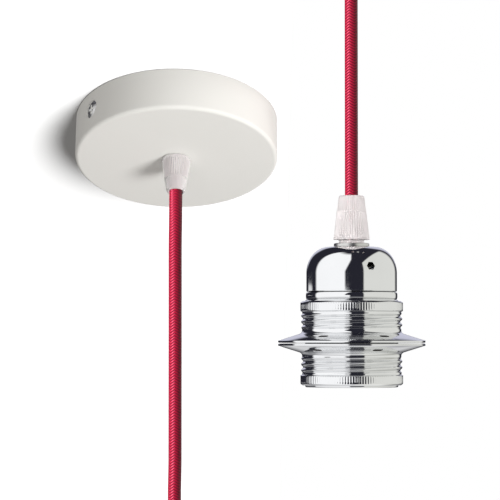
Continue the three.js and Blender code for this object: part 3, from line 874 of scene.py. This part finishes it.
def make_rings():
    meet = HOLDER_FRAME @ Matrix.Translation((0, 0, -RING_MEET * MM))
    shade_ring("ring_upper", meet, "shade_ring_upper")
    flip = Matrix.Rotation(math.pi, 4, "X")
    turn = Matrix.Rotation(LOWER_RING_TURN, 4, "Z")
    shade_ring("ring_lower", meet @ flip @ turn, "shade_ring_lower")


make_rings()


# Stage: a white ceiling behind the rose that takes its shadow, lamps that each light a
# few pieces, and white surroundings that polished metal mirrors as a studio.

CEILING_SIZE = (1.2, 1.6)
CEILING_LEFT = 0.555
CEILING_GAP = 0.0004
CEILING_GREY = (0.45, 0.45, 0.45, 1)
AMBIENT = (0.385, 0.377, 0.367, 1)
LEFT_BOX = 1.1
RIGHT_BOX = 0.8
SPOT = 0.9
HAZE = 0.6
BACKDROP = 0.022


def make_ceiling():
    """The sloping ceiling that the rose is fixed to. It is seen only from below."""
    bpy.ops.mesh.primitive_plane_add(size=1)
    panel = bpy.context.object
    panel.name = "ceiling"
    # The minus turns the panel's front face down.
    size = Matrix.Diagonal((CEILING_SIZE[0], -CEILING_SIZE[1], 1, 1))
    shift = Matrix.Translation((-CEILING_LEFT, 0, CEILING_GAP))
    panel.data.transform(ROSE_FRAME @ shift @ size)
    material, start, surface = new_material("ceiling_white")
    connect(
        surface,
        Base_Color=CEILING_GREY,
        Roughness=0.9,
        Specular_IOR_Level=0.0,
    )
    tree = material.node_tree
    hidden = start.node("ShaderNodeNewGeometry", output=6)
    clear = start.node("ShaderNodeBsdfTransparent")
    matt = Value(tree, surface.outputs[0])
    seen = start.node("ShaderNodeMixShader", {0: hidden, 1: matt, 2: clear})
    tree.links.new(seen.socket, tree.nodes["Material Output"].inputs["Surface"])
    panel.data.materials.append(material)
    panel.visible_glossy = False
    panel.visible_diffuse = False
    panel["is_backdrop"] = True
    return panel


def make_lamp(kind, name, place, size, power, lit, shading=None, mirrored=False):
    """A softbox or a sun aimed at the origin.

    It lights the objects in lit only. Only those in shading, where given, block it.
    """
    data = bpy.data.lights.new(name, kind)
    data.energy = power
    if kind == "AREA":
        data.shape = "DISK"
        data.size = size
    else:
        data.angle = size
    lamp = bpy.data.objects.new(name, data)
    bpy.context.scene.collection.objects.link(lamp)
    lamp.location = place
    lamp.rotation_euler = (-Vector(place)).to_track_quat("-Z", "Y").to_euler()
    lamp.visible_glossy = mirrored
    lamp.visible_camera = False
    lamp.light_linking.receiver_collection = group_of(name + "_lit", lit)
    if shading:
        lamp.light_linking.blocker_collection = group_of(name + "_shading", shading)


def group_of(name, objects):
    group = bpy.data.collections.new(name)
    for obj in objects:
        group.objects.link(obj)
    return group


def reflected_room(start, direction):
    """What polished metal mirrors: two tall softboxes, a pale floor and a grey backdrop.

    The turn is in degrees from the viewer, positive to the right, and the lift is in
    degrees above the horizon.
    """
    degrees = 180 / math.pi
    turn = direction.split(0).maths("ARCTAN2", direction.split(1) * -1) * degrees
    lift = direction.split(2).maths("ARCSINE") * degrees
    behind = turn.maths("ABSOLUTE").steps(154, 164)
    edge = lift.steps(0.6, 1.3) * -12 + lift.steps(5, 50) * 15 - 7
    left = turn.steps(-108, -101) * (turn - edge).steps(2, -2)
    left = left * lift.steps(82, 70)
    right = turn.steps(27, 30) * turn.steps(150, 138)
    slant = direction.split(2) - direction.split(0) * 1.45
    right = right * slant.steps(0.04, -0.04)
    spot = turn.steps(-150, -142) * turn.steps(-119, -127) * lift.steps(0.7, 1.0)
    spot = spot * lift.steps(1.65, 1.4)
    haze_left = lift.steps(3, 8) * lift.steps(34, 24) * turn.steps(0, -90)
    haze_right = lift.steps(3, 8) * lift.steps(48, 36) * turn.steps(0, 90)
    haze = (haze_left + haze_right) * behind * HAZE
    floor = lift.steps(-8, -28)
    steep = behind.maths("MAXIMUM", lift.steps(-34, -55))
    pale = (steep * 0.42 + 0.3) * floor
    grey = left * LEFT_BOX + right * RIGHT_BOX + spot * SPOT + BACKDROP
    grey = grey * (floor * -0.75 + 1) + pale
    blue = haze * 1.18 + grey - right * 0.05 + 0.01
    return start.node("ShaderNodeCombineColor", {
        0: grey + haze, 1: grey + haze, 2: blue,
    })


def make_world():
    world = bpy.data.worlds.new("white_room")
    bpy.context.scene.world = world
    world.use_nodes = True
    tree = world.node_tree
    tree.nodes.clear()
    start = Value(tree, None)
    # The camera sees plain white, mirrors see the room and matt surfaces an even light.
    camera_ray = start.node("ShaderNodeLightPath", output=0)
    glossy_ray = start.node("ShaderNodeLightPath", output=3)
    clear_ray = start.node("ShaderNodeLightPath", output=6)
    direction = start.node("ShaderNodeTexCoord", output=0)
    room = reflected_room(start, direction)
    unseen = glossy_ray.blend(AMBIENT, room)
    colour = camera_ray.maths("MAXIMUM", clear_ray).blend(unseen, (1, 1, 1, 1))
    surface = start.node("ShaderNodeBackground", {0: colour, 1: 1.0})
    output = tree.nodes.new("ShaderNodeOutputWorld")
    tree.links.new(surface.socket, output.inputs["Surface"])


ceiling = make_ceiling()
rose_names = ("rose", "ceiling_strap", "side_screw", "terminal")
rose_side = [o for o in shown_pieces() if o.name.startswith(rose_names)]
other_side = [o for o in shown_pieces() if o not in rose_side and o.name != "cord"]
cord = bpy.data.objects["cord"]
# Each lamp's kind, name, place, size or angle, power, what it lights and what blocks it.
make_lamp("SUN", "ceiling_sun", (0.60, -1.07, -0.26), 0.56, 12.8, [ceiling], rose_side)
make_lamp("AREA", "rose_key", (0.66, -0.78, -0.42), 0.42, 9.1, rose_side, rose_side)
make_lamp("AREA", "rose_fill", (-0.3, -0.9, 0.4), 0.6, 2.6, rose_side)
make_lamp("AREA", "rose_edge", (1.0, -0.2, 0.3), 0.5, 2.1, rose_side)
make_lamp("AREA", "cord_key", (-0.78, -0.62, 0.10), 0.3, 27, [cord], None, True)
make_lamp("AREA", "holder_key", (-0.75, -0.75, 0.10), 0.3, 12, other_side)
make_lamp("AREA", "holder_fill", (0.85, -0.75, 0.10), 0.3, 8, other_side)
make_lamp("AREA", "back", (0.3, 1.1, 0.4), 0.7, 6, rose_side + other_side)
# The chrome mirrors the studio, not the rose or the cord beside it.
for piece in rose_side + [cord]:
    piece.visible_glossy = False
make_world()
bpy.context.scene.view_settings.view_transform = "Standard"
